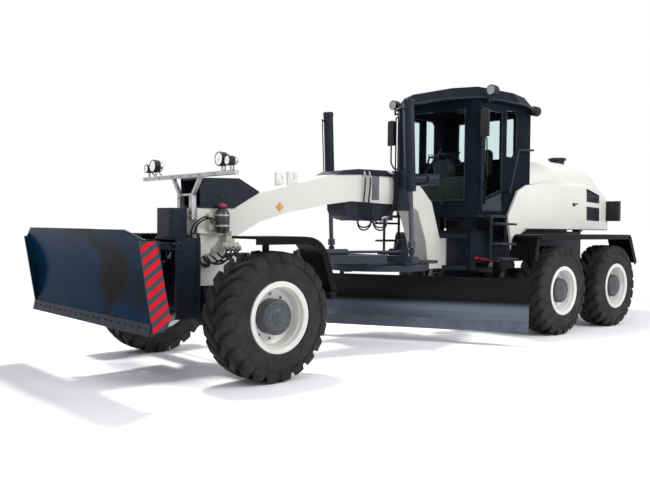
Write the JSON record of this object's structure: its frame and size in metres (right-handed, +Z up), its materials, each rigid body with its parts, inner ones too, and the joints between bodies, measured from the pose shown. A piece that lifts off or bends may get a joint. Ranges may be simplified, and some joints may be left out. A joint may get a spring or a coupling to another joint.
{
  "type": "motor grader",
  "caption": "Six-wheeled articulated motor grader with gooseneck frame, drawbar and circle, angled moldboard, front dozer blade and glazed cab",
  "frame": {"origin": "on the ground under the middle of the machine's overall box", "axes": "+X forward along the machine, +Y to its left, +Z up"},
  "size_m": [9.6975, 3.6288, 3.75],
  "materials": {
    "cream_paint": "satin cream-white enamel",
    "navy_paint": "satin dark navy-grey enamel",
    "dozer_paint": "gloss dark blue-black enamel",
    "rubber": "dull black rubber",
    "black_plastic": "fine-grained near-black plastic",
    "glass": "clear green-tinted safety glass",
    "chrome_rod": "hard chrome, polished",
    "edge_steel": "worn dark grey steel",
    "silver": "silver paint",
    "drive_cream": "cream paint on a cast housing",
    "seat_fabric": "dark woven cloth"
  },
  "bodies": {
    "rear": {"rear_frame": "navy_paint", "rear_axle": "navy_paint", "tandem_cases": "navy_paint", "rear_fenders": "black_plastic", "hood": "cream_paint", "engine_block": "navy_paint", "cab_shell": "navy_paint", "cab_glass": "glass", "cab_roof": "navy_paint", "operator_seat": "seat_fabric", "steering_console": "black_plastic", "cab_steps": "navy_paint", "mirrors": "black_plastic", "roof_lamps": "black_plastic", "tail_lamps": "black_plastic", "grab_rails": "navy_paint"},
    "door_left": {"door_left": "navy_paint", "door_glass_left": "glass"},
    "door_right": {"door_right": "navy_paint", "door_glass_right": "glass"},
    "front": {"front_frame": "cream_paint", "front_axle": "navy_paint", "nose_box": "navy_paint", "lamp_bar": "silver", "dozer_column": "navy_paint", "lift_saddle": "navy_paint"},
    "knuckle_left": {"knuckle_left": "navy_paint", "front_fender_left": "black_plastic"},
    "knuckle_right": {"knuckle_right": "navy_paint", "front_fender_right": "black_plastic"},
    "tie_rod": {"tie_rod": "navy_paint"},
    "drawbar_ball": {"drawbar_ball": "navy_paint"},
    "drawbar": {"drawbar": "navy_paint", "circle_drive": "drive_cream", "side_cylinder": "navy_paint"},
    "circle": {"circle": "navy_paint"},
    "blade_carrier": {"blade_carrier": "navy_paint"},
    "moldboard": {"moldboard": "navy_paint", "cutting_edge": "edge_steel"},
    "lift_barrel_left": {"lift_barrel_left": "navy_paint"},
    "lift_rod_left": {"lift_rod_left": "chrome_rod"},
    "lift_barrel_right": {"lift_barrel_right": "navy_paint"},
    "lift_rod_right": {"lift_rod_right": "chrome_rod"},
    "dozer_lower_link": {"dozer_lower_link": "navy_paint"},
    "dozer_upper_link": {"dozer_upper_link": "navy_paint"},
    "dozer_blade": {"dozer_blade": "dozer_paint"},
    "dozer_barrel": {"dozer_barrel": "navy_paint"},
    "dozer_rod": {"dozer_rod": "chrome_rod"},
    "wheel_front_left": {"tyre_front_left": "rubber", "rim_front_left": "cream_paint"},
    "wheel_front_right": {"tyre_front_right": "rubber", "rim_front_right": "cream_paint"},
    "wheel_mid_left": {"tyre_mid_left": "rubber", "rim_mid_left": "cream_paint"},
    "wheel_mid_right": {"tyre_mid_right": "rubber", "rim_mid_right": "cream_paint"},
    "wheel_rear_left": {"tyre_rear_left": "rubber", "rim_rear_left": "cream_paint"},
    "wheel_rear_right": {"tyre_rear_right": "rubber", "rim_rear_right": "cream_paint"}
  },
  "joints": [
    {"name": "articulation", "type": "hinge", "parent": "rear", "child": "front", "pos_m": [-1.065, 0, 1.27], "axis": [0, 0, -1], "range_deg": [-25, 25]},
    {"name": "steering", "type": "hinge", "parent": "front", "child": "knuckle_left", "pos_m": [3.235, 0.93, 0.69], "axis": [0, 0, 1], "range_deg": [-35, 35]},
    {"name": "steering_right", "type": "hinge", "parent": "front", "child": "knuckle_right", "pos_m": [3.235, -0.93, 0.69], "axis": [0, 0, 1], "range_deg": [-35, 35]},
    {"name": "tie_rod_slide", "type": "slide", "parent": "front", "child": "tie_rod", "axis": [0, 1, 0], "range_m": [-0.16, 0.16]},
    {"name": "wheel_front_left_spin", "type": "hinge", "parent": "knuckle_left", "child": "wheel_front_left", "pos_m": [3.235, 1.205, 0.69], "axis": [0, 1, 0], "continuous": true},
    {"name": "wheel_front_right_spin", "type": "hinge", "parent": "knuckle_right", "child": "wheel_front_right", "pos_m": [3.235, -1.205, 0.69], "axis": [0, 1, 0], "continuous": true},
    {"name": "wheel_mid_left_spin", "type": "hinge", "parent": "rear", "child": "wheel_mid_left", "pos_m": [-2.369, 1.205, 0.69], "axis": [0, 1, 0], "continuous": true},
    {"name": "wheel_mid_right_spin", "type": "hinge", "parent": "rear", "child": "wheel_mid_right", "pos_m": [-2.369, -1.205, 0.69], "axis": [0, 1, 0], "continuous": true},
    {"name": "wheel_rear_left_spin", "type": "hinge", "parent": "rear", "child": "wheel_rear_left", "pos_m": [-4.075, 1.205, 0.69], "axis": [0, 1, 0], "continuous": true},
    {"name": "wheel_rear_right_spin", "type": "hinge", "parent": "rear", "child": "wheel_rear_right", "pos_m": [-4.075, -1.205, 0.69], "axis": [0, 1, 0], "continuous": true},
    {"name": "door_left_hinge", "type": "hinge", "parent": "rear", "child": "door_left", "pos_m": [-1.574, 0.8343, 2.6], "axis": [0, 0, 1], "range_deg": [0, 85]},
    {"name": "door_right_hinge", "type": "hinge", "parent": "rear", "child": "door_right", "pos_m": [-1.574, -0.8343, 2.6], "axis": [0, 0, -1], "range_deg": [0, 85]},
    {"name": "drawbar_lift", "type": "hinge", "parent": "front", "child": "drawbar_ball", "pos_m": [2.935, 0, 1.215], "axis": [0, 1, 0], "range_deg": [-3, 2.2]},
    {"name": "drawbar_swing", "type": "hinge", "parent": "drawbar_ball", "child": "drawbar", "pos_m": [2.935, 0, 1.215], "axis": [0, 0, 1], "range_deg": [-7, 7]},
    {"name": "circle_turn", "type": "hinge", "parent": "drawbar", "child": "circle", "pos_m": [0.345, 0, 1.08], "axis": [0, 0, 1], "continuous": true},
    {"name": "blade_tip", "type": "hinge", "parent": "circle", "child": "blade_carrier", "pos_m": [0.00213, -0.20602, 0.56], "axis": [-0.515, 0.8572, 0], "range_deg": [-10, 20]},
    {"name": "blade_side_shift", "type": "slide", "parent": "blade_carrier", "child": "moldboard", "axis": [0.515, -0.8572, 0], "range_m": [-0.6, 0.6]},
    {"name": "lift_barrel_left_swing", "type": "hinge", "parent": "front", "child": "lift_barrel_left", "pos_m": [0.534, 0.8, 2.3], "axis": [-0.9506, 0.3104, 0], "range_deg": [-19, 19]},
    {"name": "lift_rod_left_slide", "type": "slide", "parent": "lift_barrel_left", "child": "lift_rod_left", "axis": [0.0499, 0, 0.9988], "range_m": [-0.135, 0.1]},
    {"name": "lift_barrel_right_swing", "type": "hinge", "parent": "front", "child": "lift_barrel_right", "pos_m": [0.534, -0.8, 2.3], "axis": [-0.9506, -0.3104, 0], "range_deg": [-19, 19]},
    {"name": "lift_rod_right_slide", "type": "slide", "parent": "lift_barrel_right", "child": "lift_rod_right", "axis": [0.0499, 0, 0.9988], "range_m": [-0.135, 0.1]},
    {"name": "dozer_lift", "type": "hinge", "parent": "front", "child": "dozer_lower_link", "pos_m": [3.795, 0, 0.69], "axis": [0, -1, 0], "range_deg": [-59, 12]},
    {"name": "dozer_upper_link_turn", "type": "hinge", "parent": "front", "child": "dozer_upper_link", "pos_m": [3.795, 0, 1.4], "axis": [0, -1, 0], "range_deg": [-59, 12]},
    {"name": "dozer_blade_turn", "type": "hinge", "parent": "dozer_lower_link", "child": "dozer_blade", "pos_m": [4.515, 0, 0.69], "axis": [0, -1, 0], "range_deg": [-12, 59]},
    {"name": "dozer_barrel_turn", "type": "hinge", "parent": "dozer_lower_link", "child": "dozer_barrel", "pos_m": [4.285, 0, 0.77], "axis": [0, -1, 0], "range_deg": [-8, 36]},
    {"name": "dozer_rod_slide", "type": "slide", "parent": "dozer_barrel", "child": "dozer_rod", "axis": [-0.7541, 0, 0.6568], "range_m": [-0.07, 0.32]}
  ],
  "couplings": [
    {"joint": "steering_right", "follows": "steering", "ratio": 1},
    {"joint": "tie_rod_slide", "follows": "steering", "m_per_rad": -0.26},
    {"joint": "lift_barrel_left_swing", "follows": "drawbar_swing", "ratio": 2.6299},
    {"joint": "lift_rod_left_slide", "follows": "drawbar_lift", "m_per_rad": 2.45},
    {"joint": "lift_barrel_right_swing", "follows": "drawbar_swing", "ratio": 2.6299},
    {"joint": "lift_rod_right_slide", "follows": "drawbar_lift", "m_per_rad": 2.45},
    {"joint": "dozer_upper_link_turn", "follows": "dozer_lift", "ratio": 1},
    {"joint": "dozer_blade_turn", "follows": "dozer_lift", "ratio": -1},
    {"joint": "dozer_barrel_turn", "follows": "dozer_lift", "ratio": -0.58},
    {"joint": "dozer_rod_slide", "follows": "dozer_lift", "m_per_rad": -0.29}
  ]
}
